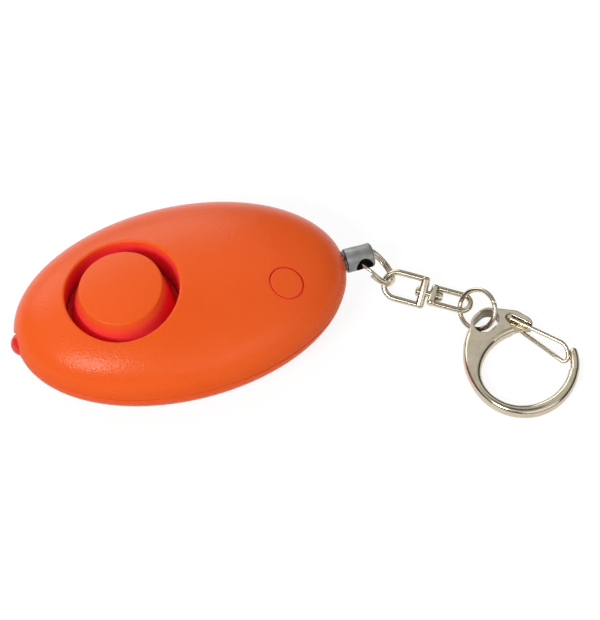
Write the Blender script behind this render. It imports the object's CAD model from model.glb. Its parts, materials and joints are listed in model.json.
"""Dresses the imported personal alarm: smooth moulded shells, bright links, materials, light and camera.

Shapes are worked out in millimetres in the frame of the CAD model and stored in metres."""

import json
import math

import bmesh
import bpy
from mathutils import Matrix, Vector

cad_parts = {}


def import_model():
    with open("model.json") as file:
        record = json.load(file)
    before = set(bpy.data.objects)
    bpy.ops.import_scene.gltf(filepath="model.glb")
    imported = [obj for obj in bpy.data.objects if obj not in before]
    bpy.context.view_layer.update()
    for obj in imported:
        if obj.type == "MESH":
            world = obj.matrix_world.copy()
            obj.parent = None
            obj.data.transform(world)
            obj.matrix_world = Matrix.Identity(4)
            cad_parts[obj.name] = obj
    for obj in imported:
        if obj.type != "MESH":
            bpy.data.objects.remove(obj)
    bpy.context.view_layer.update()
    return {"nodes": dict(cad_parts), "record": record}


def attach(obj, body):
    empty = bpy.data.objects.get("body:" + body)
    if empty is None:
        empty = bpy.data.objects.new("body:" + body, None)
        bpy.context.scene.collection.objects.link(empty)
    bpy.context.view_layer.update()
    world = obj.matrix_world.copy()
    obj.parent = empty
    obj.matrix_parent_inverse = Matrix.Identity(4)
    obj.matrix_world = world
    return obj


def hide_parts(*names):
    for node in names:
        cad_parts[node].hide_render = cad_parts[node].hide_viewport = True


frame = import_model()
NODES = frame["nodes"]

MM = 0.001
TAU = 2 * math.pi
SHARP_ANGLE = 35.0
NO_SHARP_ANGLE = 180.0
CUT_PAST = 1.0
HOLE_SIDES = 96

# Housing
HALF_L = 35.0
HALF_W = 21.9
PARTING_Z = 8.5
DOME_H = 12.3
KEEL_H = 11.6
DOME_POWER = 2.5
WALL = 1.8
FLOOR_T = 1.6
BASE_LIFT = 0.02
PARTING_STEP = 0.2
PARTING_EDGE = 0.22
PARTING_GAP = 0.02
GROOVE_H = 0.62
GROOVE_DEPTH = 0.9
GROOVE_EDGE = 0.15
SHELL_SHARP = 32.0
UPPER_SIDES = 360
LOWER_SIDES = 240
DOME_STEPS = 110
DOME_STEPS_LEFT_OUT = 4
LINING_STEPS = 40
STEP_POWER = 2.5
KEEL_STEPS = 40
BOWL_STEPS = 24

# Underside
DOOR_LOW = (2.1, -1.5)
DOOR_HIGH = (19.2, 10.5)
DOOR_DEPTH = 0.8
BAY_LOW = (2.6, -1.0)
BAY_HIGH = (18.7, 10.0)
BAY_DEPTH = 3.0
EAR_LOW = (18.6, 2.4)
EAR_HIGH = (22.5, 6.6)
EAR_DEPTH = 0.81
EAR_END_AT = (22.5, 4.5)
EAR_END_R = 2.7
EAR_END_DEPTH = 0.82
SCREW_PLACES = ((-22, 12), (-22, -12), (27.5, 7), (27.5, -7))
SCREW_WELL_R = 2.1
SCREW_WELL_DEPTH = 4.0

# Siren
SIREN_X = -12.0
OUTLET_R = 11.7
OUTLET_EDGE = 0.6
WELL_WALL = 1.2
WELL_Z = PARTING_Z + 1.0
WELL_ROWS = 4
WELL_ROW_H = 2.0
PLUG_R = 8.25
PLUG_EDGE = 0.25
PLUG_RISE = 0.4
PLUG_Z = PARTING_Z + 2.7
PLUG_TOP = PARTING_Z + DOME_H + PLUG_RISE
PLUG_FLARE = math.tan(math.radians(14))
PLUG_BASE_R = PLUG_R + (PLUG_TOP - PLUG_Z) * PLUG_FLARE
PLUG_WALL = 1.4
PLUG_ROOF_Z = 16.5
PLUG_SIDES = 240
PLUG_STEPS = 24
RIM_ROUNDS = 8
SPOKE_ANGLES = (90, 210, 330)
SPOKE_T = 1.0
SPOKE_W = 3.0
SPOKE_SINK = 0.2
SPOKE_GAP = 0.3

# Light button
BUTTON_X = 20.4
BUTTON_Y = -7.5
BUTTON_R = 3.25
BUTTON_GAP = 0.3
BUTTON_EDGE = 0.12
BUTTON_GROOVE = 0.45
BUTTON_GROOVE_FALL = 0.05
BUTTON_SKIRT_R = 3.5
BUTTON_FOOT = 12.8
BUTTON_FLANGE_R = 4.25
BUTTON_FLANGE_H = 0.8
BUTTON_HOLE_Z = (10.0, 25.0)
BUTTON_SIDES = 128
BUTTON_STEPS = 10

# Lamp
LAMP_R = 2.5
LAMP_TIP = -36.0
LAMP_L = 3.6
LAMP_FLANGE_R = 2.9
LAMP_FLANGE_L = 1.0
LAMP_SIDES = 64
LAMP_HOLE_X = (-40.0, -29.0)
LAMP_ROOM = 0.12
LAMP_LIP = 1.1
LAMP_LIP_L = 1.2
LAMP_LIP_OUT = 0.4
LAMP_LIP_ROOM = 0.1

# Pull pin
FERRULE_X = 35.4
FERRULE_L = 5.95
FERRULE_R = 2.55
FERRULE_EDGE = 0.6
FERRULE_ROOT = 0.12
FERRULE_SIDES = 96
CROSS_X = 38.95
CROSS_R = 1.8
CROSS_REACH = 5.0
CROSS_EDGE = 0.14
CROSS_EDGE_ANGLE = 45.0
CROSS_EDGE_STEPS = 2
SOCKET_R = 3.0
SOCKET_X = (30.0, 38.0)

# Split ring
SPLIT_R = 4.8
SPLIT_WIRE = 0.34
SPLIT_WIRE_EDGE = 0.1
SPLIT_PITCH = 0.74
SPLIT_JOG = 40.0
SPLIT_START = 222.0
SPLIT_END = 669.0
SPLIT_CENTRE = (CROSS_X + 2.9, -1.25, PARTING_Z - 2.92)
SPLIT_SLOPE = 48.5
SPLIT_YAW = 8.0
SPLIT_SIDES = 16

# Swivel
SWIVEL_AT = (42.89, -4.01, 3.05)
SWIVEL_HEADING = -34.4
SWIVEL_PITCH = -1.0
SWIVEL_SIDES = 28
LEG_STEPS = (0.33, 0.66)
SHACKLE_ROLL = 36.6
SHACKLE_HALF = 2.8
SHACKLE_WIRE = 0.65
SHACKLE_L = 9.25
EYE_HALF = 1.95
EYE_WIRE = 0.6
EYE_L = 9.5
BAR_T = 1.8
BAR_H = 1.7
BAR_GAP = 0.5
BAR_ROUND = 0.7
BAR_ROUND_ANGLE = 40.0
BAR_ROUND_STEPS = 6
EYE_X0 = SHACKLE_L + BAR_GAP
RIVET_R = 0.7
RIVET_HEAD_R = 1.1
RIVET_HEAD_H = 0.6
RIVET_HEAD_GAP = 0.15
RIVET_TAIL_GAP = 0.02
RIVET_TAIL = ((0.0, 1.1), (0.7, 1.02), (1.0, 0.85), (1.1, 0.55))
RIVET_SIDES = 40

# Jump ring
JUMP_CENTRE = (59.1, -16.5, 3.6)
JUMP_SLOPE = 47.35
JUMP_HEADING = 205.76
JUMP_R = 4.15
JUMP_WIRE = 0.5
JUMP_WIRE_EDGE = 0.08
JUMP_START = 150.0
JUMP_SLIT = 4.0
JUMP_ROOM = 0.34
JUMP_SIDES = 24

# Clip
CLIP_T = 2.8
OPENING_AT = (64.38, -32.0)
OPENING_A = 10.0
OPENING_B = 8.5
OPENING_TILT = 28.0
RIM_AT = (64.43, -29.03)
RIM_A = 14.0
RIM_B = 11.95
RIM_TILT = 75.3
NOSE_W = 1.95
NOSE_T = 2.1
NOSE_FROM = 270.0
HOOK_FROM = 82.0
HOOK_ROOT = 118.0
ROOT_W = 2.2
HOOK_NOTCH = 341.0
NOTCH_HALF = 0.4
HOOK_TO = 369.0
HOOK_STEP = 3
HOOK_ROUND = 1.2
HOOK_ROUND_SHARE = 0.96
HOOK_GROW = 0.12
HOOK_INSET = 0.38
INSET_FROM = 170.0
INSET_OVER = 45.0
HOOK_CURL = 0.4
HOOK_TIP = 4.6
HOOK_TIP_SHARE = 0.75
HOOK_TIP_LEAST = 0.08
THROAT_ROUND = 1.1
THROAT_CURVE = ((-1.0, 1.0), (0.0, 1.0), (0.08, 0.72), (0.2, 0.52), (0.4, 0.32), (0.7, 0.13), (1.1, 0.02))
EYE_HOLE_AT = (60.2, -19.27)
EYE_HOLE_R = 2.05
EYE_HOLE_HALF = 0.8
EYE_HOLE_TILT = 30.0
EYE_RIM = 0.8
HEAD_MID_AT = (65.6, -20.65)
HEAD_MID_R = 2.5
HEAD_END_AT = (67.45, -22.0)
HEAD_END_R = 1.85
FLANK_ANGLE = 150.0
FLANK_R = 0.9
CAST_GRID = 0.11
CAST_SOFT = 10

# Gate
GATE_AT = (65.1, -19.75)
GATE_WIRE = 0.45
GATE_UPPER_Z = CLIP_T - 0.3
GATE_LOWER_Z = GATE_WIRE + 0.1
GATE_UPPER_HEADING = -47.0
GATE_LOWER_HEADING = -58.6
GATE_UPPER_L = 11.9
GATE_LOWER_L = 14.0
GATE_REACH = 14.0
GATE_BEND = 16.1
GATE_BEND_TURN = 1.5
GATE_BEND_STEPS = 28
GATE_LEG_STEPS = 6
GATE_SLACK = 0.15
GATE_SWING = 26.0
GATE_SIDES = 20
GATE_PIN_R = GATE_WIRE + 0.05
GATE_PIN_ROOM = 0.2
GATE_PIN_SIDES = 32
GATE_PIN_UPPER_L = 0.45
GATE_PIN_LOWER_L = 0.3
WEB_TOP = GATE_UPPER_Z - GATE_WIRE - GATE_SLACK
WEB_BASE = GATE_LOWER_Z + GATE_WIRE + GATE_SLACK

# Surfaces
RAMP_ENDS = (0.3, 0.7)
PLAIN_DETAIL = 4.0
MOTTLE_SCALE = 60.0
GLOSS_SCALE = 180.0
GLOSS_BELOW = 0.04
GLOSS_ABOVE = 0.05
GRAIN_DETAIL = 2.0
PLASTIC_GRAIN_DEPTH = 0.03
SHELL_GRAIN_SCALE = 2300.0
SHELL_GRAIN_STRENGTH = 1.0
SHELL_GRAIN_DEPTH = 0.08
SHELL_TINT = (1.0, 0.85, 0.78, 1)
SHEEN = {"From Min": 0.15, "From Max": 0.75, "To Min": 0.03, "To Max": 0.25}
WELL_TOP = 0.05
WELL_WALL_FADE = 2.2
WELL_PLUG_FADE = 3.2
WELL_WALL_BAND = 0.3
GROOVE_TOP = 0.04
GROOVE_FADE = 0.2
RECESS_MARGIN = 0.05
CROSS_MARGIN = 0.06
EYE_MARGIN = 0.08
CLOUD_SCALE = 420.0
CLOUD_DETAIL = 6.0
SCUFF_SCALE = 900.0
SCUFF_DETAIL = 5.0
DENT_SCALE = 700.0
DENT_DETAIL = 3.0
DENT_DEPTH = 0.05
LENS_LOW = (0.90, 0.025, 0.02)
LENS_HIGH = (0.97, 0.04, 0.03)
LENS_SCALE = 300.0
LENS_GLOSS_SCALE = 500.0
LENS_GLOSS = (0.05, 0.1)
LENS_INPUTS = {
    "Transmission Weight": 0.15,
    "Subsurface Weight": 0.4,
    "Subsurface Radius": (0.003, 0.0004, 0.0003),
    "Subsurface Scale": 1.0,
    "IOR": 1.5,
    "Specular IOR Level": 0.3,
}

# Camera, found from the photograph
CAMERA_HEADING = -17.106
CAMERA_TILT = 57.336
CAMERA_AT = (23.517, -6.617, 4.976)
CAMERA_D = 487.603
CAMERA_NEAR = 0.01
FOCAL_PX = 2351.2
PICTURE_PX = 620.0
SENSOR = 36.0

# Light
WHITE = (1, 1, 1, 1)
AIM = (0.01, -0.005, 0.01)
KEY_AT = (-0.53, -0.39, 0.61)
KEY_SIZE = (0.3, 0.22)
KEY_WATTS = 4.2
FILL_AT = (-0.15, 0.8, 0.4)
FILL_SIZE = (1.0, 0.5)
FILL_WATTS = 3.9
FRONT_AT = (0.3, -0.75, 0.42)
FRONT_SIZE = (1.0, 0.5)
FRONT_WATTS = 1.85
WORLD_LEVEL = 0.35
ROOM_BANDS = ((0.0, 0.04), (0.45, 0.05), (0.66, 0.5), (0.84, 0.9), (0.91, 0.7), (0.96, 0.12))
FLOOR_LOW = (0.58, 0.58, 0.58)
FLOOR_HIGH = (0.60, 0.60, 0.60)
FLOOR_SCALE = 4.0
FLOOR_INPUTS = {"Roughness": 0.9, "Specular IOR Level": 0.1, "Emission Color": WHITE}
FLOOR_GLOW = 0.58
FLOOR_CLEAR = 0.7
FLOOR_HALF = 3000.0
FLOOR_Z = -0.02


def cosd(a):
    return math.cos(math.radians(a))


def sind(a):
    return math.sin(math.radians(a))


def turn(angle, axis):
    return Matrix.Rotation(math.radians(angle), 3, axis)


def ray(angle):
    """Unit vector in plan at an angle."""
    return Vector((cosd(angle), sind(angle)))


# Mesh helpers


def mesh_object(name, verts, faces, material):
    """Object from points in millimetres."""
    mesh = bpy.data.meshes.new(name)
    mesh.from_pydata([tuple(c * MM for c in v) for v in verts], [], faces)
    mesh.validate()
    mesh.materials.append(material)
    obj = bpy.data.objects.new(name, mesh)
    bpy.context.scene.collection.objects.link(obj)
    shade(obj)
    return obj


def shade(obj, sharp=SHARP_ANGLE):
    """Smooth shading that keeps edges sharper than the angle."""
    obj.data.shade_smooth()
    obj.data.set_sharp_from_angle(angle=math.radians(sharp))


def skin(rows, wrap):
    """Points and faces of a stack of rings, closed to a loop or with both ends capped."""
    n = len(rows[0])
    count = len(rows)
    verts = [p for row in rows for p in row]
    faces = []
    for i in range(count if wrap else count - 1):
        a = i * n
        b = ((i + 1) % count) * n
        for j in range(n):
            k = (j + 1) % n
            faces.append((a + j, a + k, b + k, b + j))
    if not wrap:
        faces.append(tuple(range(n - 1, -1, -1)))
        faces.append(tuple((count - 1) * n + j for j in range(n)))
    return verts, faces


def outward(obj):
    """Turns the faces outwards."""
    bm = bmesh.new()
    bm.from_mesh(obj.data)
    bmesh.ops.recalc_face_normals(bm, faces=bm.faces)
    bm.to_mesh(obj.data)
    bm.free()


def solid(name, rows, material, wrap=False):
    """Object from a stack of rings, its faces turned outwards."""
    obj = mesh_object(name, *skin(rows, wrap), material)
    outward(obj)
    return obj


def settle(obj, sharp=SHARP_ANGLE):
    """Bakes an object's modifiers into its mesh."""
    bpy.context.view_layer.update()
    graph = bpy.context.evaluated_depsgraph_get()
    mesh = bpy.data.meshes.new_from_object(obj.evaluated_get(graph))
    old = obj.data
    obj.modifiers.clear()
    obj.data = mesh
    bpy.data.meshes.remove(old)
    shade(obj, sharp)


def combine(obj, others, operation, sharp=SHARP_ANGLE):
    """Joins other solids to the object or takes them away from it, and removes them."""
    for other in others:
        modifier = obj.modifiers.new("combine", "BOOLEAN")
        modifier.operation = operation
        modifier.solver = "MANIFOLD"
        modifier.object = other
    settle(obj, sharp)
    for other in others:
        bpy.data.objects.remove(other)


def cast(obj, grid, passes):
    """Gives a solid the soft edges of a casting."""
    mesh = obj.modifiers.new("grid", "REMESH")
    mesh.mode = "VOXEL"
    mesh.voxel_size = grid * MM
    soft = obj.modifiers.new("soft", "SMOOTH")
    soft.factor = 0.5
    soft.iterations = passes
    settle(obj, NO_SHARP_ANGLE)


def bevel(obj, width, angle, segments):
    """Breaks the object's edges that are sharper than the angle."""
    modifier = obj.modifiers.new("bevel", "BEVEL")
    modifier.width = width * MM
    modifier.segments = segments
    modifier.limit_method = "ANGLE"
    modifier.angle_limit = math.radians(angle)
    settle(obj)


def circle(centre, r, n, u=(1, 0, 0), v=(0, 1, 0)):
    c, u, v = Vector(centre), Vector(u), Vector(v)
    return [c + r * (math.cos(TAU * j / n) * u + math.sin(TAU * j / n) * v) for j in range(n)]


def rod(name, start, end, r, material, sides=64, r_end=None):
    """Closed cylinder or cone between two points."""
    start, end = Vector(start), Vector(end)
    d = (end - start).normalized()
    u = d.orthogonal().normalized()
    v = d.cross(u)
    rows = [circle(start, r, sides, u, v), circle(end, r if r_end is None else r_end, sides, u, v)]
    return mesh_object(name, *skin(rows, False), material)


def block(name, low, high, material, place=None):
    """Closed box between two corners, moved by a matrix if one is given."""
    xs, ys, zs = zip(low, high)
    verts = [Vector((x, y, z)) for z in zs for y in ys for x in xs]
    if place is not None:
        verts = [place @ v for v in verts]
    faces = [(0, 2, 3, 1), (4, 5, 7, 6), (0, 1, 5, 4), (2, 6, 7, 3), (0, 4, 6, 2), (1, 3, 7, 5)]
    return mesh_object(name, verts, faces, material)


def tube_rows(path, radius, sides, closed=False):
    """Rings of a round tube along a path, without twist."""
    path = [Vector(p) for p in path]
    n = len(path)
    rows = []
    side = None
    for i in range(n):
        before = path[i - 1] if i or closed else path[0]
        after = path[(i + 1) % n] if i < n - 1 or closed else path[n - 1]
        d = (after - before).normalized()
        side = d.orthogonal().normalized() if side is None else (side - d * side.dot(d)).normalized()
        rows.append(circle(path[i], radius, sides, side, d.cross(side)))
    return rows


def rounded_tube(path, radius, sides, edge):
    """Rings of a tube whose two ends are rounded off."""
    rows = tube_rows(path, radius, sides)
    first = (Vector(path[1]) - Vector(path[0])).normalized()
    last = (Vector(path[-1]) - Vector(path[-2])).normalized()

    def end(row, centre, d):
        centre = Vector(centre)
        return [
            [centre + (p - centre) * (1 - edge / radius * (1 - cosd(a))) + d * edge * sind(a) for p in row]
            for a in (30, 60, 88)
        ]

    return end(rows[0], path[0], -first)[::-1] + rows + end(rows[-1], path[-1], last)


def revolve_x(profile, x0, z0, sides):
    """Rings about an axis along X, from (distance along X, radius) pairs."""
    angles = [TAU * j / sides for j in range(sides)]
    return [[(x0 + x, r * math.cos(a), z0 + r * math.sin(a)) for a in angles] for x, r in profile]


def join(objs, name):
    """One object from several, keeping the first one's material."""
    verts, faces = [], []
    material = objs[0].data.materials[0]
    for obj in objs:
        base = len(verts)
        verts += [tuple(c / MM for c in v.co) for v in obj.data.vertices]
        faces += [tuple(base + i for i in p.vertices) for p in obj.data.polygons]
        bpy.data.objects.remove(obj)
    return mesh_object(name, verts, faces, material)


# Material helpers


def new_material(name):
    material = bpy.data.materials.new(name)
    material.use_nodes = True
    nodes = material.node_tree.nodes
    return material, nodes, material.node_tree.links, nodes["Principled BSDF"]


def set_inputs(node, values):
    """Gives a node's inputs plain values by their names."""
    for name, value in values.items():
        node.inputs[name].default_value = value


def noise(nodes, links, scale, detail=PLAIN_DETAIL):
    """Noise in object space."""
    place = nodes.new("ShaderNodeTexCoord")
    texture = nodes.new("ShaderNodeTexNoise")
    set_inputs(texture, {"Scale": scale, "Detail": detail})
    links.new(place.outputs["Object"], texture.inputs["Vector"])
    return texture.outputs["Fac"]


def ramp(nodes, links, fac, low, high):
    """Two colours spread over a factor."""
    node = nodes.new("ShaderNodeValToRGB")
    for element, position, colour in zip(node.color_ramp.elements, RAMP_ENDS, (low, high)):
        element.position = position
        element.color = (*colour, 1)
    links.new(fac, node.inputs["Fac"])
    return node.outputs["Color"]


def spread(nodes, links, fac, low, high):
    """Factor mapped to a range of values."""
    node = nodes.new("ShaderNodeMapRange")
    set_inputs(node, {"To Min": low, "To Max": high})
    links.new(fac, node.inputs["Value"])
    return node.outputs["Result"]


def gloss(nodes, links, shader, pattern, low, high):
    """Roughness that wanders between two values."""
    links.new(spread(nodes, links, pattern, low, high), shader.inputs["Roughness"])


def relief(nodes, links, shader, pattern, strength, depth):
    """Fine bumps on the surface."""
    node = nodes.new("ShaderNodeBump")
    set_inputs(node, {"Strength": strength, "Distance": depth * MM})
    links.new(pattern, node.inputs["Height"])
    links.new(node.outputs["Normal"], shader.inputs["Normal"])


def blend(nodes, links, factor, colour, other):
    """A colour socket mixed with a plain colour."""
    mix = nodes.new("ShaderNodeMix")
    mix.data_type = "RGBA"
    links.new(factor, mix.inputs["Factor"])
    links.new(colour, mix.inputs["A"])
    mix.inputs["B"].default_value = (*other, 1)
    return mix.outputs["Result"]


def mix_shaders(nodes, links, factor, first, second):
    """Two shaders mixed by a factor."""
    node = nodes.new("ShaderNodeMixShader")
    links.new(factor, node.inputs["Fac"])
    links.new(first, node.inputs[1])
    links.new(second, node.inputs[2])
    return node.outputs["Shader"]


def calculator(nodes, links):
    """Function that adds one math node on two inputs, each a socket or a number."""

    def sum_of(operation, first, second=0):
        node = nodes.new("ShaderNodeMath")
        node.operation = operation
        for socket, value in zip(node.inputs, (first, second)):
            if isinstance(value, (int, float)):
                socket.default_value = value
            else:
                links.new(value, socket)
        return node.outputs["Value"]

    return sum_of


def squares(sum_of, first, second):
    """Sum of two squares."""
    return sum_of("ADD", sum_of("MULTIPLY", first, first), sum_of("MULTIPLY", second, second))


def object_axes(nodes, links):
    """The three object coordinates of a point."""
    place = nodes.new("ShaderNodeTexCoord")
    axes = nodes.new("ShaderNodeSeparateXYZ")
    links.new(place.outputs["Object"], axes.inputs["Vector"])
    return [axes.outputs[name] for name in "XYZ"]


def sunken(nodes, links):
    """How deep a point of the siren well or the button's groove lies, from 0 at the dome to 1."""
    x, y, z = object_axes(nodes, links)
    sum_of = calculator(nodes, links)

    def distance(x0, y0):
        return sum_of("SQRT", squares(sum_of, sum_of("SUBTRACT", x, x0 * MM), sum_of("SUBTRACT", y, y0 * MM)))

    def share(value, half):
        return sum_of("POWER", sum_of("DIVIDE", sum_of("ABSOLUTE", value), half * MM), 2)

    def depth(top, fade):
        part = sum_of("DIVIDE", sum_of("SUBTRACT", under, top * MM), fade)
        return sum_of("MINIMUM", sum_of("MAXIMUM", part), 1)

    left = sum_of("SUBTRACT", sum_of("SUBTRACT", 1, share(x, HALF_L)), share(y, HALF_W))
    curve = sum_of("POWER", sum_of("MAXIMUM", left), 1 / DOME_POWER)
    dome = sum_of("ADD", sum_of("MULTIPLY", curve, DOME_H * MM), PARTING_Z * MM)
    under = sum_of("SUBTRACT", dome, z)
    r = distance(SIREN_X, 0)
    inside = sum_of("LESS_THAN", r, (OUTLET_R + RECESS_MARGIN) * MM)
    plug = sum_of("LESS_THAN", r, (OUTLET_R - WELL_WALL_BAND) * MM)
    longer = sum_of("MULTIPLY", plug, (WELL_PLUG_FADE - WELL_WALL_FADE) * MM)
    well = depth(WELL_TOP, sum_of("ADD", longer, WELL_WALL_FADE * MM))
    groove_r = BUTTON_R + BUTTON_GAP + RECESS_MARGIN
    near = sum_of("LESS_THAN", distance(BUTTON_X, BUTTON_Y), groove_r * MM)
    groove = depth(GROOVE_TOP, GROOVE_FADE * MM)
    return sum_of("MAXIMUM", sum_of("MULTIPLY", well, inside), sum_of("MULTIPLY", groove, near))


def in_cross_hole(nodes, links):
    """1 inside the pin's cross hole, 0 outside."""
    x, _, z = object_axes(nodes, links)
    sum_of = calculator(nodes, links)
    square = squares(sum_of, sum_of("SUBTRACT", x, CROSS_X * MM), sum_of("SUBTRACT", z, PARTING_Z * MM))
    return sum_of("LESS_THAN", square, ((CROSS_R + CROSS_MARGIN) * MM) ** 2)


def in_eye_hole(nodes, links):
    """1 inside the clip's oblong eye, 0 outside."""
    x, y, _ = object_axes(nodes, links)
    sum_of = calculator(nodes, links)
    dx = sum_of("SUBTRACT", x, EYE_HOLE_AT[0] * MM)
    dy = sum_of("SUBTRACT", y, EYE_HOLE_AT[1] * MM)
    c, s = cosd(EYE_HOLE_TILT), sind(EYE_HOLE_TILT)
    along = sum_of("ABSOLUTE", sum_of("ADD", sum_of("MULTIPLY", dx, c), sum_of("MULTIPLY", dy, s)))
    across = sum_of("SUBTRACT", sum_of("MULTIPLY", dy, c), sum_of("MULTIPLY", dx, s))
    past = sum_of("MAXIMUM", sum_of("SUBTRACT", along, EYE_HOLE_HALF * MM))
    return sum_of("LESS_THAN", squares(sum_of, past, across), ((EYE_HOLE_R + EYE_MARGIN) * MM) ** 2)


def sheen(nodes, links):
    """Reflection of the moulding: fuller on top than on the sides."""
    facing = nodes.new("ShaderNodeNewGeometry")
    axes = nodes.new("ShaderNodeSeparateXYZ")
    links.new(facing.outputs["Normal"], axes.inputs["Vector"])
    node = nodes.new("ShaderNodeMapRange")
    set_inputs(node, SHEEN)
    links.new(axes.outputs["Z"], node.inputs["Value"])
    return node.outputs["Result"]


# Materials


def plastic(name, low, high, rough, grain, strength, depth=PLASTIC_GRAIN_DEPTH, deep=None):
    """Mottled plastic with a fine grain, and a deeper colour down in the housing's wells if one is given."""
    material, nodes, links, shader = new_material(name)
    colour = ramp(nodes, links, noise(nodes, links, MOTTLE_SCALE), low, high)
    if deep is not None:
        colour = blend(nodes, links, sunken(nodes, links), colour, deep)
    links.new(colour, shader.inputs["Base Color"])
    gloss(nodes, links, shader, noise(nodes, links, GLOSS_SCALE), rough - GLOSS_BELOW, rough + GLOSS_ABOVE)
    relief(nodes, links, shader, noise(nodes, links, grain, GRAIN_DETAIL), strength, depth)
    return material


def shell_plastic(name, low, high, deep, rough):
    """Grained plastic of the housing with its own sheen."""
    grain = (SHELL_GRAIN_SCALE, SHELL_GRAIN_STRENGTH, SHELL_GRAIN_DEPTH)
    material = plastic(name, low, high, rough, *grain, deep)
    nodes, links = material.node_tree.nodes, material.node_tree.links
    shader = nodes["Principled BSDF"]
    links.new(sheen(nodes, links), shader.inputs["Specular IOR Level"])
    set_inputs(shader, {"Specular Tint": SHELL_TINT})
    return material


def metal(name, low, high, rough, wear=0.05, dents=0.03, metallic=1.0, hole=None, dark=(0.02, 0.02, 0.02)):
    """Plated metal with faint clouding and scuffs, dark inside a hole if one is given."""
    material, nodes, links, shader = new_material(name)
    colour = ramp(nodes, links, noise(nodes, links, CLOUD_SCALE, CLOUD_DETAIL), low, high)
    if hole is not None:
        colour = blend(nodes, links, hole(nodes, links), colour, dark)
    links.new(colour, shader.inputs["Base Color"])
    gloss(nodes, links, shader, noise(nodes, links, SCUFF_SCALE, SCUFF_DETAIL), rough - wear, rough + wear)
    relief(nodes, links, shader, noise(nodes, links, DENT_SCALE, DENT_DETAIL), dents, DENT_DEPTH)
    set_inputs(shader, {"Metallic": metallic})
    return material


def lens(name):
    """Translucent red moulded lens."""
    material, nodes, links, shader = new_material(name)
    colour = ramp(nodes, links, noise(nodes, links, LENS_SCALE), LENS_LOW, LENS_HIGH)
    links.new(colour, shader.inputs["Base Color"])
    gloss(nodes, links, shader, noise(nodes, links, LENS_GLOSS_SCALE), *LENS_GLOSS)
    set_inputs(shader, LENS_INPUTS)
    return material


SHELL = shell_plastic("shell_orange", (0.87, 0.106, 0.0125), (0.90, 0.118, 0.0155), (1.0, 0.052, 0.07), 0.24)
BLACK = plastic("black_plastic", (0.010, 0.010, 0.011), (0.018, 0.018, 0.019), 0.5, 2400.0, 0.2)
BOARD = plastic("board_green", (0.012, 0.15, 0.05), (0.02, 0.2, 0.07), 0.4, 900.0, 0.1)
CERAMIC = plastic("ceramic", (0.7, 0.68, 0.6), (0.8, 0.78, 0.7), 0.5, 900.0, 0.1)
WIRE_RED = plastic("lead_sleeve", (0.42, 0.02, 0.02), (0.5, 0.03, 0.03), 0.5, 900.0, 0.1)
COIL = plastic("coil", (0.09, 0.06, 0.045), (0.14, 0.09, 0.06), 0.6, 900.0, 0.2)
CHIP = plastic("chip", (0.3, 0.21, 0.12), (0.37, 0.27, 0.16), 0.5, 900.0, 0.1)
LENS = lens("red_lens")
NICKEL = metal("nickel", (0.54, 0.475, 0.36), (0.61, 0.545, 0.42), 0.18, 0.03, 0.005)
CAST = metal(
    "nickel_cast", (0.52, 0.455, 0.34), (0.62, 0.555, 0.43), 0.2, hole=in_eye_hole, dark=(0.16, 0.13, 0.09)
)
COLLAR = metal("nickel_collar", (0.07, 0.07, 0.07), (0.16, 0.16, 0.16), 0.25)
GREY = metal("grey_metal", (0.2, 0.205, 0.2), (0.36, 0.365, 0.355), 0.42, 0.08, 0.25, 0.6, in_cross_hole)
STEEL = metal("screw_steel", (0.45, 0.45, 0.46), (0.58, 0.58, 0.59), 0.3)
CELL = metal("cell_steel", (0.62, 0.62, 0.64), (0.72, 0.72, 0.74), 0.2)
BRASS = metal("brass", (0.55, 0.37, 0.12), (0.68, 0.48, 0.18), 0.3)

SLOT_MATERIALS = {
    "shell_orange": SHELL,
    "black_plastic": BLACK,
    "board": BOARD,
    "ceramic": CERAMIC,
    "lead_sleeve": WIRE_RED,
    "coil": COIL,
    "chip": CHIP,
    "red_lens": LENS,
    "nickel": NICKEL,
    "grey_metal": GREY,
    "screw_steel": STEEL,
    "cell_steel": CELL,
    "brass": BRASS,
}


def dress_nodes():
    """Gives every CAD node its slot's material, and the pin's collar a darker one."""
    for part in frame["record"]["subparts"]:
        obj = NODES[part["node"]]
        material = COLLAR if part["node"] == "pin_collar" else SLOT_MATERIALS[part["material_slot"]]
        if not obj.data.materials:
            obj.data.materials.append(material)
        for i in range(len(obj.data.materials)):
            obj.data.materials[i] = material


def place_piece(obj, body, slot, *nodes):
    """Sets a piece on its body in place of CAD nodes."""
    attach(obj, body)
    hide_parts(*nodes)


# Housing


def dome_z(x, y, inset=0.0):
    """Height of the dome over a point, with its axes drawn in by the inset."""
    left = 1 - (x / (HALF_L - inset)) ** 2 - (y / (HALF_W - inset)) ** 2
    return PARTING_Z + (DOME_H - inset) * max(left, 0.0) ** (1 / DOME_POWER)


def lining_z(x, y):
    """Height of the dome's inner side over a point."""
    return dome_z(x, y, WALL)


def reach(angle, inset):
    """Distance from the siren's axis to the housing's outline, drawn in by the inset."""
    a, b = HALF_L - inset, HALF_W - inset
    c, s = math.cos(angle), math.sin(angle)
    qa = (c / a) ** 2 + (s / b) ** 2
    qb = 2 * SIREN_X * c / a**2
    qc = (SIREN_X / a) ** 2 - 1
    return (-qb + math.sqrt(qb * qb - 4 * qa * qc)) / (2 * qa)


def about_siren(angle, r):
    """Place in plan at an angle and a distance from the siren's axis."""
    return SIREN_X + r * math.cos(angle), r * math.sin(angle)


def polar_row(n, point):
    """Ring of points, one for each of so many angles."""
    return [point(TAU * j / n) for j in range(n)]


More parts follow.
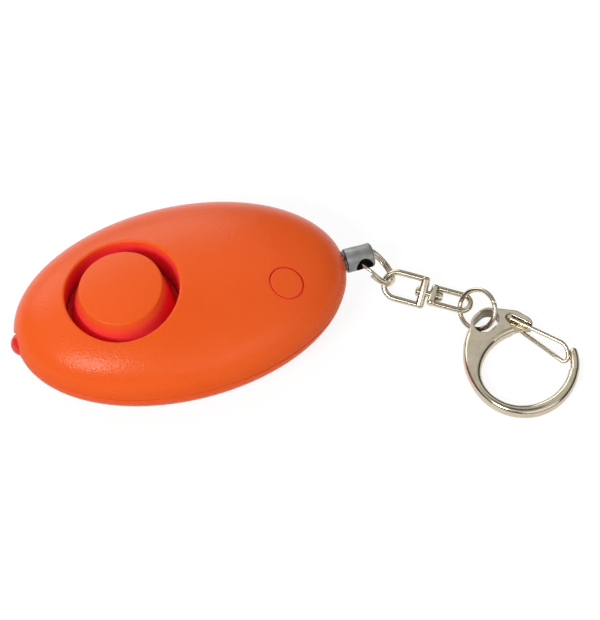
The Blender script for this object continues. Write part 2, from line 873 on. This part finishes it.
def end_cutters():
    """Holes on the parting line: the lamp's, its flared lip and the pin's socket."""

    def hole(name, start, end, r, r_end=None):
        return rod(name, (start, 0, PARTING_Z), (end, 0, PARTING_Z), r, SHELL, HOLE_SIDES, r_end)

    lip_x = (-HALF_L - LAMP_LIP_OUT, -HALF_L + LAMP_LIP_L)
    return [
        hole("cut_lamp", *LAMP_HOLE_X, LAMP_R + LAMP_ROOM),
        hole("cut_lip", *lip_x, LAMP_R + LAMP_LIP, LAMP_R + LAMP_LIP_ROOM),
        hole("cut_pin", *SOCKET_X, SOCKET_R),
    ]


def upper_shell():
    """Dome with its siren well, as one closed skin of rings about the siren's axis."""

    def row(radius, height):
        """Ring from the distance at each angle and the height at each place."""

        def point(a):
            x, y = about_siren(a, radius(a))
            return x, y, height(x, y)

        return polar_row(UPPER_SIDES, point)

    def ring(r, z):
        return row(lambda a: r, lambda x, y: z)

    def rim(inset, z):
        return row(lambda a: reach(a, inset), lambda x, y: z)

    def part_way(start, inset, f, height):
        return row(lambda a: start + (reach(a, inset) - start) * f, height)

    def outer(f):
        return part_way(OUTLET_R + OUTLET_EDGE, 0.0, f, dome_z)

    def inner(f):
        return part_way(OUTLET_R + WELL_WALL, WALL, f, lining_z)

    def edge(t):
        r = OUTLET_R + OUTLET_EDGE * (1 - sind(t))
        return row(lambda a: r, lambda x, y: dome_z(x, y) - OUTLET_EDGE * (1 - cosd(t)))

    rows = [ring(OUTLET_R, WELL_Z + WELL_ROW_H * i) for i in range(WELL_ROWS)]
    rows += [edge(t) for t in range(90, 0, -15)]
    rows += [outer(1 - (1 - i / DOME_STEPS) ** STEP_POWER) for i in range(DOME_STEPS - DOME_STEPS_LEFT_OUT)]
    rows += [rim(0.0, PARTING_Z + PARTING_EDGE), rim(PARTING_EDGE, PARTING_Z), rim(WALL, PARTING_Z)]
    rows += [inner(1 - (i / LINING_STEPS) ** STEP_POWER) for i in range(1, LINING_STEPS + 1)]
    rows += [ring(OUTLET_R + WELL_WALL, WELL_Z)]
    obj = solid("upper_shell_skin", rows, SHELL, wrap=True)
    low, high = [(BUTTON_X, BUTTON_Y, z) for z in BUTTON_HOLE_Z]
    button_hole = rod("cut_button", low, high, BUTTON_R + BUTTON_GAP, SHELL, BUTTON_SIDES)
    combine(obj, [button_hole] + end_cutters(), "DIFFERENCE", SHELL_SHARP)
    place_piece(obj, "housing", "shell_orange", "upper_shell")


def keel_angle(inset, depth):
    """Angle of the underside's curve at a depth below the parting line."""
    return math.degrees(math.asin((depth / (KEEL_H - inset)) ** (DOME_POWER / 2)))


def keel_rows(inset, start, depth, steps):
    """Rings of the underside between two depths below the parting line."""
    first, last = keel_angle(inset, start), keel_angle(inset, depth)
    rows = []
    for i in range(steps + 1):
        u = first + (last - first) * i / steps
        a, b = (HALF_L - inset) * cosd(u), (HALF_W - inset) * cosd(u)
        z = PARTING_Z - (KEEL_H - inset) * sind(u) ** (2 / DOME_POWER)
        rows.append(polar_row(LOWER_SIDES, lambda t: (a * math.cos(t), b * math.sin(t), z)))
    return rows


def lower_shell():
    """Bowl with a flat base, screw wells and the battery door's recess."""

    def rim(inset, z):
        a, b = HALF_L - inset, HALF_W - inset
        return polar_row(LOWER_SIDES, lambda t: (a * math.cos(t), b * math.sin(t), z))

    def ledge_edge(t):
        return rim(PARTING_STEP + GROOVE_EDGE * (1 - sind(t)), ledge - GROOVE_EDGE * (1 - cosd(t)))

    def pocket(name, low, high, depth):
        return block(name, (*low, -CUT_PAST), (*high, depth), SHELL)

    def well(name, at, r, depth):
        return rod(name, (*at, -CUT_PAST), (*at, depth), r, SHELL)

    ledge = PARTING_Z - GROOVE_H
    groove = [rim(GROOVE_DEPTH, PARTING_Z - PARTING_GAP), rim(GROOVE_DEPTH, ledge)]
    groove += [ledge_edge(t) for t in (0, 30, 60)]
    outside = groove + keel_rows(PARTING_STEP, GROOVE_H + GROOVE_EDGE, PARTING_Z - BASE_LIFT, KEEL_STEPS)
    inside = keel_rows(WALL, 0.0, PARTING_Z - FLOOR_T, BOWL_STEPS)
    obj = solid("lower_shell_skin", outside[::-1] + inside, SHELL)
    cutters = end_cutters()
    cutters += [
        pocket("cut_door", DOOR_LOW, DOOR_HIGH, DOOR_DEPTH),
        pocket("cut_bay", BAY_LOW, BAY_HIGH, BAY_DEPTH),
        pocket("cut_ear", EAR_LOW, EAR_HIGH, EAR_DEPTH),
        well("cut_ear_end", EAR_END_AT, EAR_END_R, EAR_END_DEPTH),
    ]
    cutters += [well("cut_screw", at, SCREW_WELL_R, SCREW_WELL_DEPTH) for at in SCREW_PLACES]
    combine(obj, cutters, "DIFFERENCE", SHELL_SHARP)
    place_piece(obj, "housing", "shell_orange", "lower_shell")


def siren_plug():
    """Boss in the sound outlet: its top carries on the dome's surface."""

    def crown(a, r, drop=0.0):
        x, y = about_siren(a, r)
        return x, y, dome_z(x, y) + PLUG_RISE - drop

    def flared_r(z):
        return PLUG_R + (PLUG_TOP - z) * PLUG_FLARE

    def rim_r(a):
        """Radius at which the flared side meets the top."""
        r = PLUG_R
        for _ in range(RIM_ROUNDS):
            r = flared_r(crown(a, r)[2])
        return r

    def top(f):
        return polar_row(PLUG_SIDES, lambda a: crown(a, (rim_r(a) - PLUG_EDGE) * f))

    def edge(t):
        inset, drop = PLUG_EDGE * (1 - sind(t)), PLUG_EDGE * (1 - cosd(t))
        return polar_row(PLUG_SIDES, lambda a: crown(a, rim_r(a) - inset, drop))

    def side(f):
        def point(a):
            z = (crown(a, rim_r(a))[2] - PLUG_EDGE) * (1 - f) + PLUG_Z * f
            return *about_siren(a, flared_r(z)), z

        return polar_row(PLUG_SIDES, point)

    def ring(r, z):
        return polar_row(PLUG_SIDES, lambda a: (*about_siren(a, r), z))

    rows = [top(i / PLUG_STEPS) for i in range(1, PLUG_STEPS + 1)]
    rows += [edge(t) for t in (20, 40, 60, 76)]
    rows += [side(f) for f in (0.05, 0.2, 0.4, 0.7, 1.0)]
    rows += [ring(PLUG_BASE_R - PLUG_WALL, PLUG_Z), ring(PLUG_R - PLUG_WALL, PLUG_ROOF_Z)]
    pieces = [solid("siren_plug_skin", rows, SHELL)]
    low = (PLUG_BASE_R - PLUG_WALL / 2 - SPOKE_SINK, -SPOKE_W / 2, PLUG_Z)
    high = (OUTLET_R - SPOKE_GAP, SPOKE_W / 2, PLUG_Z + SPOKE_T)
    for a in SPOKE_ANGLES:
        place = Matrix.Translation((SIREN_X, 0, 0)) @ Matrix.Rotation(math.radians(a), 4, "Z")
        pieces.append(block("spoke", low, high, SHELL, place))
    obj = join(pieces, "siren_plug_skin")
    place_piece(obj, "housing", "shell_orange", "siren_plug")


def light_button():
    """Cap that follows the dome, with a soft edge."""

    def top(r, drop=0.0):
        def point(a):
            x, y = BUTTON_X + r * math.cos(a), BUTTON_Y + r * math.sin(a)
            return x, y, dome_z(x, y) - drop

        return polar_row(BUTTON_SIDES, point)

    def ring(r, z):
        return circle((BUTTON_X, BUTTON_Y, z), r, BUTTON_SIDES)

    flat = BUTTON_R - BUTTON_EDGE
    rows = [top(flat * i / BUTTON_STEPS) for i in range(1, BUTTON_STEPS + 1)]
    rows += [top(flat + BUTTON_EDGE * sind(t), BUTTON_EDGE * (1 - cosd(t))) for t in (30, 60, 90)]
    rows += [top(BUTTON_R, BUTTON_GROOVE), top(BUTTON_SKIRT_R, BUTTON_GROOVE + BUTTON_GROOVE_FALL)]
    flange_top = BUTTON_FOOT + BUTTON_FLANGE_H
    rows += [ring(r, flange_top) for r in (BUTTON_SKIRT_R, BUTTON_FLANGE_R)]
    rows += [ring(BUTTON_FLANGE_R, BUTTON_FOOT)]
    obj = solid("light_button_cap", rows, SHELL)
    place_piece(obj, "light_button", "shell_orange", "light_button")


def lamp():
    """Lens of the lamp: flange, barrel and dome."""
    base = LAMP_TIP + LAMP_R + LAMP_L
    profile = [(0, LAMP_FLANGE_R), (-LAMP_FLANGE_L, LAMP_FLANGE_R), (-LAMP_FLANGE_L, LAMP_R)]
    profile += [(-LAMP_L - LAMP_R * sind(t), LAMP_R * cosd(t)) for t in range(0, 90, 6)]
    obj = solid("lamp_lens_skin", revolve_x(profile, base, PARTING_Z, LAMP_SIDES), LENS)
    place_piece(obj, "housing", "red_lens", "lamp_lens")


# Pin and links


def ferrule():
    """Grey sleeve on the pin with its cross hole."""
    edge, third = FERRULE_EDGE, FERRULE_ROOT / 3
    profile = [(0, FERRULE_R - FERRULE_ROOT), (third, FERRULE_R - third), (FERRULE_ROOT, FERRULE_R)]
    for t in range(0, 91, 15):
        profile.append((FERRULE_L - edge + edge * sind(t), FERRULE_R - edge + edge * cosd(t)))
    obj = solid("pin_ferrule_skin", revolve_x(profile, FERRULE_X, PARTING_Z, FERRULE_SIDES), GREY)
    near, far = [(CROSS_X, y, PARTING_Z) for y in (-CROSS_REACH, CROSS_REACH)]
    combine(obj, [rod("cut_cross", near, far, CROSS_R, GREY, HOLE_SIDES)], "DIFFERENCE")
    bevel(obj, CROSS_EDGE, CROSS_EDGE_ANGLE, CROSS_EDGE_STEPS)
    place_piece(obj, "pull_pin", "grey_metal", "pin_ferrule")


def split_ring():
    """Nearly two close turns of wire with a jog between them."""
    place = turn(SPLIT_YAW, "Z") @ turn(SPLIT_SLOPE, "Y")
    path = []
    for s in range(0, int(SPLIT_END) + 1, 3):
        t = min(1.0, max(0.0, (s - 360 + SPLIT_JOG) / SPLIT_JOG))
        rise = SPLIT_PITCH * (t * t * (3 - 2 * t) - 0.5)
        a = s + SPLIT_START
        path.append(Vector(SPLIT_CENTRE) + place @ Vector((SPLIT_R * cosd(a), SPLIT_R * sind(a), rise)))
    obj = solid("split_ring_wire", rounded_tube(path, SPLIT_WIRE, SPLIT_SIDES, SPLIT_WIRE_EDGE), NICKEL)
    place_piece(obj, "split_ring", "nickel", "split_ring")


def swivel_place(roll):
    """Frame of the swivel, along its axis and rolled about it."""
    turned = turn(SWIVEL_HEADING, "Z") @ turn(-SWIVEL_PITCH, "Y") @ turn(roll, "X")
    return Matrix.Translation(SWIVEL_AT) @ turned.to_4x4()


def loop_path(half, straight):
    """Half loop from one leg's end to the other's, with its bend's middle at the origin and legs along +X."""
    legs = [half + (straight - half) * f for f in LEG_STEPS] + [straight]
    path = [(x, half, 0) for x in legs[::-1]]
    path += [(half - half * cosd(t), half * sind(t), 0) for t in range(90, -91, -6)]
    return path + [(x, -half, 0) for x in legs]


def swivel_loop(name, path, half, wire_r, bar_x, place):
    """Round wire loop with an end bar, from its path in the swivel's frame."""
    rows = tube_rows([place @ Vector(p) for p in path], wire_r, SWIVEL_SIDES)
    wire = solid("wire", rows, NICKEL)
    wide = half + wire_r
    bar = block("bar", (bar_x, -wide, -BAR_H / 2), (bar_x + BAR_T, wide, BAR_H / 2), NICKEL, place)
    bevel(bar, BAR_ROUND, BAR_ROUND_ANGLE, BAR_ROUND_STEPS)
    obj = join([wire, bar], name)
    outward(obj)
    return obj


def shackle():
    """Wide loop that hangs on the split ring."""
    path = loop_path(SHACKLE_HALF, SHACKLE_L - BAR_T / 2)
    place = swivel_place(SHACKLE_ROLL)
    obj = swivel_loop("swivel_shackle_wire", path, SHACKLE_HALF, SHACKLE_WIRE, SHACKLE_L - BAR_T, place)
    place_piece(obj, "swivel_shackle", "nickel", "swivel_shackle")


def eye():
    """Narrower loop on the other side of the swivel."""
    far = EYE_X0 + EYE_L - EYE_WIRE
    path = [(far - x, y, z) for x, y, z in loop_path(EYE_HALF, EYE_L - EYE_WIRE - BAR_T / 2)]
    obj = swivel_loop("swivel_eye_wire", path, EYE_HALF, EYE_WIRE, EYE_X0, swivel_place(0.0))
    place_piece(obj, "swivel_eye", "nickel", "swivel_eye")


def rivet():
    """Rivet of the swivel with a domed head and an upset tail."""
    place = swivel_place(0.0)
    head = SHACKLE_L - BAR_T - RIVET_HEAD_GAP
    tail = EYE_X0 + BAR_T + RIVET_TAIL_GAP
    profile = [(head - RIVET_HEAD_H * sind(t), RIVET_HEAD_R * cosd(t)) for t in range(84, -1, -12)]
    profile += [(head, RIVET_R), (tail, RIVET_R)]
    profile += [(tail + x, r) for x, r in RIVET_TAIL]
    rows = [[place @ Vector(p) for p in row] for row in revolve_x(profile, 0, 0, RIVET_SIDES)]
    obj = solid("swivel_rivet_skin", rows, NICKEL)
    place_piece(obj, "swivel_eye", "nickel", "swivel_rivet")


def jump_path(angles):
    """Middle line of the jump ring at some angles."""
    place = Matrix.Translation(JUMP_CENTRE) @ (turn(JUMP_HEADING, "Z") @ turn(JUMP_SLOPE, "Y")).to_4x4()
    return [place @ Vector((JUMP_R * cosd(a), JUMP_R * sind(a), 0)) for a in angles]


def jump_ring():
    """Wire ring with a narrow cut."""
    path = jump_path([JUMP_START + a for a in range(0, int(361 - JUMP_SLIT), 4)])
    obj = solid("jump_ring_wire", rounded_tube(path, JUMP_WIRE, JUMP_SIDES, JUMP_WIRE_EDGE), NICKEL)
    place_piece(obj, "jump_ring", "nickel", "jump_ring")


# Clip


def ellipse_at(c, a, b, tilt, t):
    """Point of a tilted ellipse."""
    x, y = a * cosd(t), b * sind(t)
    return c[0] + x * cosd(tilt) - y * sind(tilt), c[1] + x * sind(tilt) + y * cosd(tilt)


def ellipse_ray(c, a, b, tilt, t):
    """Where a ray from the opening's middle meets a tilted ellipse that lies round it."""
    turned = Matrix.Rotation(math.radians(-tilt), 2)
    p = turned @ (Vector(OPENING_AT) - Vector(c))
    p = Vector((p[0] / a, p[1] / b))
    v = Vector((cosd(t - tilt) / a, sind(t - tilt) / b))
    reach_t = (math.sqrt(p.dot(v) ** 2 - v.dot(v) * (p.dot(p) - 1)) - p.dot(v)) / v.dot(v)
    return Vector(OPENING_AT) + ray(t) * reach_t


def hook_outer(t):
    """Outer side of the hook at an angle about the opening's middle."""
    if t < HOOK_ROOT:
        return hook_inner(t) + ray(t) * ROOT_W
    curl = HOOK_CURL * max((t - HOOK_NOTCH) / (HOOK_TO - HOOK_NOTCH), 0) ** 2
    return ellipse_ray(RIM_AT, RIM_A, RIM_B, RIM_TILT, t) + ray(t) * (HOOK_GROW - curl)


def hook_inner(t):
    """Inner side of the hook at an angle about the opening's middle."""
    inset = HOOK_INSET * min(max((t - INSET_FROM) / INSET_OVER, 0), 1)
    p = ellipse_ray(OPENING_AT, OPENING_A, OPENING_B, OPENING_TILT, t) - ray(t) * inset
    if t < HOOK_NOTCH:
        return p
    o = hook_outer(t)
    return o + (p - o).normalized() * NOSE_W


def hook_thickness(t):
    """Thickness of the hook, less towards the nose."""
    return CLIP_T + (NOSE_T - CLIP_T) * max(t - NOSE_FROM, 0) / (HOOK_TO - NOSE_FROM)


def hook_row(t, shrink=1.0, quarter=9):
    """One section of the hook: a rectangle with round corners."""
    a, b = hook_inner(t), hook_outer(t)
    c, d = (a + b) / 2, (b - a).normalized()
    w = (b - a).length / 2 * shrink
    h = hook_thickness(t) / 2 * shrink
    r = min(HOOK_ROUND, HOOK_ROUND_SHARE * w, HOOK_ROUND_SHARE * h)
    row = []
    for start, u, v in ((0, 1, 1), (90, -1, 1), (180, -1, -1), (270, 1, -1)):
        for i in range(quarter):
            angle = start + 90 * i / (quarter - 1)
            across, up = u * (w - r) + r * cosd(angle), v * (h - r) + r * sind(angle)
            row.append((c[0] + d[0] * across, c[1] + d[1] * across, CLIP_T / 2 + up))
    return row


def throat_cutter():
    """Opening of the clip with its edges rounded over."""
    rows = []
    for lift, grow in THROAT_CURVE:
        a, b = OPENING_A + grow * THROAT_ROUND, OPENING_B + grow * THROAT_ROUND
        ring = [ellipse_at(OPENING_AT, a, b, OPENING_TILT, t) for t in range(0, 360, 2)]
        rows.append([(x, y, lift * THROAT_ROUND) for x, y in ring])
    rows += [[(x, y, CLIP_T - z) for x, y, z in row] for row in rows[::-1]]
    return solid("cut_throat", rows, NICKEL)


def convex(points):
    """Convex outline of points in the plane, anticlockwise."""
    points = sorted(points)

    def left_turn(a, b, p):
        return (b[0] - a[0]) * (p[1] - a[1]) > (b[1] - a[1]) * (p[0] - a[0])

    def half(seq):
        chain = []
        for p in seq:
            while len(chain) > 1 and not left_turn(chain[-2], chain[-1], p):
                chain.pop()
            chain.append(p)
        return chain[:-1]

    return half(points) + half(points[::-1])


def plan_circle(c, r, n=96):
    return [(c[0] + r * math.cos(TAU * j / n), c[1] + r * math.sin(TAU * j / n)) for j in range(n)]


def prism(name, outline, low, high):
    """Upright solid on an outline."""
    return solid(name, [[(x, y, z) for x, y in outline] for z in (low, high)], NICKEL)


def eye_points(r):
    """Points round both ends of the clip's oblong eye."""
    half = ray(EYE_HOLE_TILT) * EYE_HOLE_HALF
    ends = [Vector(EYE_HOLE_AT) - half, Vector(EYE_HOLE_AT) + half]
    return [p for c in ends for p in plan_circle(c, r)]


def gate_recess(name, low, high, heading, length):
    """Fan in which one leg of the gate lies and swings."""
    half = GATE_WIRE + GATE_SLACK
    c = Vector(GATE_AT)
    points = plan_circle(c, half + GATE_PIN_ROOM, GATE_PIN_SIDES)
    for a in (heading, heading - GATE_SWING / 2, heading - GATE_SWING):
        end, side = c + ray(a) * length, Vector((-sind(a), cosd(a))) * half
        points += [tuple(end + side), tuple(end - side)]
    return prism(name, convex(points), low, high)


def hook_ring():
    """Tapering ring of the hook with a round tip."""
    tip = HOOK_TO - HOOK_TIP_SHARE * HOOK_TIP
    angles = [HOOK_FROM + i for i in range(0, int(HOOK_NOTCH - HOOK_FROM), HOOK_STEP)]
    angles += [HOOK_NOTCH - NOTCH_HALF, HOOK_NOTCH + NOTCH_HALF]
    angles += [HOOK_NOTCH + i for i in range(HOOK_STEP, int(tip - HOOK_NOTCH), HOOK_STEP)]
    rows = [hook_row(t) for t in angles]
    for a in (0, 15, 30, 45, 60, 72, 82, 88):
        rows.append(hook_row(tip + HOOK_TIP * sind(a), max(cosd(a), HOOK_TIP_LEAST)))
    return solid("ring", rows, NICKEL)


def hook_head():
    """Flat head between the ring, the eye and the gate's seat."""
    flank = (hook_inner(FLANK_ANGLE) + hook_outer(FLANK_ANGLE)) / 2
    points = eye_points(EYE_HOLE_R + EYE_RIM)
    points += plan_circle(HEAD_MID_AT, HEAD_MID_R) + plan_circle(HEAD_END_AT, HEAD_END_R)
    points += plan_circle(flank, FLANK_R)
    return prism("head", convex(points), 0.0, CLIP_T)


def clip_hook():
    """Cast hook: a tapering ring and a flat head with the eye and the gate's seat."""
    obj = hook_ring()
    head = hook_head()
    groove = tube_rows(jump_path(range(0, 360, 5)), JUMP_WIRE + JUMP_ROOM, JUMP_SIDES, True)
    over = CLIP_T + CUT_PAST
    cutters = [
        prism("cut_eye", convex(eye_points(EYE_HOLE_R)), -CUT_PAST, over),
        solid("cut_groove", groove, NICKEL, wrap=True),
        gate_recess("cut_upper", WEB_TOP, over, GATE_UPPER_HEADING, GATE_UPPER_L),
        gate_recess("cut_lower", -CUT_PAST, WEB_BASE, GATE_LOWER_HEADING, GATE_LOWER_L),
    ]
    combine(head, [throat_cutter()], "DIFFERENCE")
    combine(obj, [head], "UNION")
    combine(obj, cutters, "DIFFERENCE")
    cast(obj, CAST_GRID, CAST_SOFT)
    obj.data.materials.clear()
    obj.data.materials.append(CAST)
    obj.name = "clip_hook_cast"
    place_piece(obj, "clip_hook", "nickel", "clip_hook")


def gate_point(heading, length, z):
    return Vector((GATE_AT[0] + length * cosd(heading), GATE_AT[1] + length * sind(heading), z))


def gate_path():
    """Middle line of the gate's wire: upper leg, bend and lower leg."""

    def upper_leg(length):
        return gate_point(GATE_UPPER_HEADING, length, GATE_UPPER_Z)

    def lower_leg(length):
        return gate_point(GATE_LOWER_HEADING, length, GATE_LOWER_Z)

    upper, lower = upper_leg(GATE_UPPER_L), lower_leg(GATE_LOWER_L)
    one = upper_leg(GATE_REACH)
    two = gate_point(GATE_LOWER_HEADING + GATE_BEND_TURN, GATE_BEND, GATE_LOWER_Z)
    path = [upper_leg(GATE_UPPER_L * i / GATE_LEG_STEPS) for i in range(GATE_LEG_STEPS)]
    for i in range(GATE_BEND_STEPS + 1):
        t = i / GATE_BEND_STEPS
        u = 1 - t
        path.append(upper * u**3 + one * 3 * t * u**2 + two * 3 * t * t * u + lower * t**3)
    path += [lower_leg(GATE_LOWER_L * i / GATE_LEG_STEPS) for i in range(GATE_LEG_STEPS - 1, -1, -1)]
    return path


def clip_gate():
    """Bent wire that closes the clip."""

    def pivot(name, low, high):
        return rod(name, (*GATE_AT, low), (*GATE_AT, high), GATE_PIN_R, NICKEL, GATE_PIN_SIDES)

    wire = solid("wire", tube_rows(gate_path(), GATE_WIRE, GATE_SIDES), NICKEL)
    top = pivot("top", WEB_TOP - GATE_PIN_UPPER_L, GATE_UPPER_Z + GATE_WIRE)
    foot = pivot("foot", GATE_LOWER_Z - GATE_WIRE, WEB_BASE + GATE_PIN_LOWER_L)
    obj = join([wire, top, foot], "clip_gate_wire")
    outward(obj)
    place_piece(obj, "clip_gate", "nickel", "clip_gate")


# Stage


def camera():
    """Camera that took the photograph."""
    a, e = math.radians(CAMERA_HEADING), math.radians(CAMERA_TILT)
    right = Vector((math.cos(a), math.sin(a), 0))
    back = Vector((math.sin(a) * math.cos(e), -math.cos(a) * math.cos(e), math.sin(e)))
    up = back.cross(right)
    data = bpy.data.cameras.new("camera")
    data.sensor_width = SENSOR
    data.lens = FOCAL_PX * SENSOR / PICTURE_PX
    data.clip_start = CAMERA_NEAR
    obj = bpy.data.objects.new("camera", data)
    turned = Matrix((right, up, back)).transposed().to_4x4()
    obj.matrix_world = Matrix.Translation((Vector(CAMERA_AT) + CAMERA_D * back) * MM) @ turned
    bpy.context.scene.collection.objects.link(obj)
    bpy.context.scene.camera = obj


def area_lamp(name, at, size, watts):
    """Rectangular lamp that faces the object."""
    data = bpy.data.lights.new(name, "AREA")
    data.shape = "RECTANGLE"
    data.size, data.size_y = size
    data.energy = watts
    obj = bpy.data.objects.new(name, data)
    obj.location = at
    obj.rotation_euler = (Vector(AIM) - Vector(at)).to_track_quat("-Z", "Y").to_euler()
    bpy.context.scene.collection.objects.link(obj)


def floor():
    """White sheet under the object that keeps a soft shadow and lets links that hang lower show through.

    It glows only on camera, glossy and transmission rays."""
    material, nodes, links, shader = new_material("floor_white")
    sum_of = calculator(nodes, links)
    colour = ramp(nodes, links, noise(nodes, links, FLOOR_SCALE), FLOOR_LOW, FLOOR_HIGH)
    links.new(colour, shader.inputs["Base Color"])
    set_inputs(shader, FLOOR_INPUTS)
    path = nodes.new("ShaderNodeLightPath")
    seen = path.outputs["Is Camera Ray"]
    for name in ("Is Glossy Ray", "Is Transmission Ray"):
        seen = sum_of("MAXIMUM", seen, path.outputs[name])
    links.new(spread(nodes, links, seen, 0.0, FLOOR_GLOW), shader.inputs["Emission Strength"])
    through = sum_of("MULTIPLY", path.outputs["Is Camera Ray"], FLOOR_CLEAR)
    through = sum_of("MAXIMUM", through, path.outputs["Is Shadow Ray"])
    clear = nodes.new("ShaderNodeBsdfTransparent")
    sheet = mix_shaders(nodes, links, through, shader.outputs["BSDF"], clear.outputs["BSDF"])
    links.new(sheet, nodes["Material Output"].inputs["Surface"])
    corners = [(x * FLOOR_HALF, y * FLOOR_HALF, FLOOR_Z) for x, y in ((-1, -1), (1, -1), (1, 1), (-1, 1))]
    mesh_object("floor", corners, [(0, 1, 2, 3)], material)


def world():
    """White to the camera and even light from above, and to reflections a room in bands of grey."""
    scene = bpy.context.scene
    scene.world = bpy.data.worlds.new("room")
    scene.world.use_nodes = True
    nodes, links = scene.world.node_tree.nodes, scene.world.node_tree.links
    sum_of = calculator(nodes, links)
    base = nodes["Background"]
    base.inputs["Color"].default_value = WHITE
    room = nodes.new("ShaderNodeBackground")
    place = nodes.new("ShaderNodeTexCoord")
    split = nodes.new("ShaderNodeSeparateXYZ")
    links.new(place.outputs["Generated"], split.inputs["Vector"])
    bands = nodes.new("ShaderNodeValToRGB")
    for _ in range(len(ROOM_BANDS) - 2):
        bands.color_ramp.elements.new(0.5)
    for element, (height, level) in zip(bands.color_ramp.elements, ROOM_BANDS):
        element.position = height
        element.color = (level, level, level, 1)
    links.new(split.outputs["Z"], bands.inputs["Fac"])
    links.new(bands.outputs["Color"], room.inputs["Color"])
    path = nodes.new("ShaderNodeLightPath")
    above = sum_of("GREATER_THAN", split.outputs["Z"], 0)
    strength = sum_of("MAXIMUM", sum_of("MULTIPLY", above, WORLD_LEVEL), path.outputs["Is Camera Ray"])
    links.new(strength, base.inputs["Strength"])
    glossy = path.outputs["Is Glossy Ray"]
    mixed = mix_shaders(nodes, links, glossy, base.outputs["Background"], room.outputs["Background"])
    links.new(mixed, nodes["World Output"].inputs["Surface"])


def stage():
    """Floor, world and three lamps."""
    floor()
    world()
    area_lamp("key", KEY_AT, KEY_SIZE, KEY_WATTS)
    area_lamp("fill", FILL_AT, FILL_SIZE, FILL_WATTS)
    area_lamp("front", FRONT_AT, FRONT_SIZE, FRONT_WATTS)
    bpy.context.scene.view_settings.view_transform = "Standard"


dress_nodes()
upper_shell()
lower_shell()
siren_plug()
light_button()
lamp()
ferrule()
split_ring()
shackle()
eye()
rivet()
jump_ring()
clip_hook()
clip_gate()
camera()
stage()
